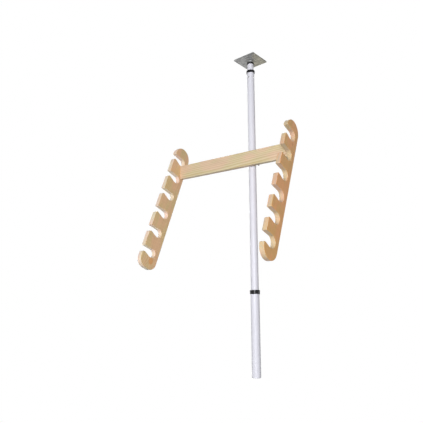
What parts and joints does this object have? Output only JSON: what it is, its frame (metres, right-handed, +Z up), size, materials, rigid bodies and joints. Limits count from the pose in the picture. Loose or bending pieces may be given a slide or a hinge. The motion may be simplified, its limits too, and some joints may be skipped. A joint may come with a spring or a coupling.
{
  "type": "rod rack",
  "caption": "Slotted wooden rod rack clamped to a sprung telescoping pole under a square ceiling plate; it slides and swivels on the pole.",
  "frame": {"origin": "middle of the ceiling pad's upper face, on the pole's axis, where the part meets the ceiling", "axes": "+Z up along the pole towards the ceiling; +X along the stored rods, from their tips to their butts, parallel to the crossboard; the slots open towards -Y, the front"},
  "size_m": [0.478, 0.2719, 1.082],
  "materials": {
    "pad_rubber": "matt black rubber sheet",
    "galvanised_steel": "galvanised, mottled and slightly dull",
    "screw_steel": "zinc plated",
    "black_plastic": "black, satin",
    "gloss_black_plastic": "black, semi-gloss",
    "knob_plastic": "black, fine spark texture",
    "white_enamel": "cool white baked enamel, semi-gloss",
    "white_nylon": "natural nylon",
    "black_nylon": "black nylon, satin",
    "foot_plastic": "off-white, satin",
    "spring_steel": "oiled spring wire",
    "upright_pine": "clear varnished pine, warm tan, satin",
    "board_pine": "clear varnished pine, pale, satin",
    "plug_wood": "darker end grain, satin",
    "strap_steel": "zinc plated, brushed"
  },
  "bodies": {
    "ceiling_head": {"ceiling_pad": "pad_rubber", "ceiling_plate": "galvanised_steel", "plate_screw": "screw_steel", "head_plug": "black_plastic", "head_tube": "white_enamel", "spring_plunger": "white_nylon", "tension_spring": "spring_steel"},
    "pole": {"upper_tube": "white_enamel", "top_collar": "black_plastic", "stop_rivets": "white_enamel", "spring_seat": "white_nylon", "tube_guide": "white_nylon"},
    "lower_pole": {"lower_tube": "white_enamel", "lock_ferrule": "white_enamel", "lock_collet": "white_nylon", "foot_plug": "foot_plastic"},
    "lock_collar": {"lock_collar": "gloss_black_plastic"},
    "bush": {"pole_bush": "black_nylon"},
    "rack": {"tip_upright": "upright_pine", "butt_upright": "upright_pine", "crossboard": "board_pine", "joint_screws": "screw_steel", "wood_plugs": "plug_wood", "clamp_strap": "strap_steel", "strap_screws": "screw_steel", "clamp_nut": "screw_steel"},
    "knob": {"clamp_knob": "knob_plastic", "knob_stud": "screw_steel"}
  },
  "joints": [
    {"name": "head_spring_slide", "type": "slide", "parent": "ceiling_head", "child": "pole", "axis": [0, 0, 1], "range_m": [0, 0.016], "stiffness_N_per_m": 2000, "springref_m": -0.03, "deforming": ["tension_spring"]},
    {"name": "pole_extension", "type": "slide", "parent": "pole", "child": "lower_pole", "axis": [0, 0, 1], "range_m": [-0.06, 0.115]},
    {"name": "lock_twist", "type": "hinge", "parent": "lower_pole", "child": "lock_collar", "pos_m": [0, 0, -0.817], "axis": [0, 0, 1], "range_deg": [0, 90]},
    {"name": "rack_height", "type": "slide", "parent": "pole", "child": "bush", "axis": [0, 0, 1], "range_m": [-0.24, 0.2]},
    {"name": "rack_swivel", "type": "hinge", "parent": "bush", "child": "rack", "pos_m": [0, 0, -0.369], "axis": [0, 0, 1], "continuous": true},
    {"name": "knob_turn", "type": "hinge", "parent": "rack", "child": "knob", "pos_m": [0, 0.03, -0.369], "axis": [0, 1, 0], "range_deg": [0, 180]}
  ]
}
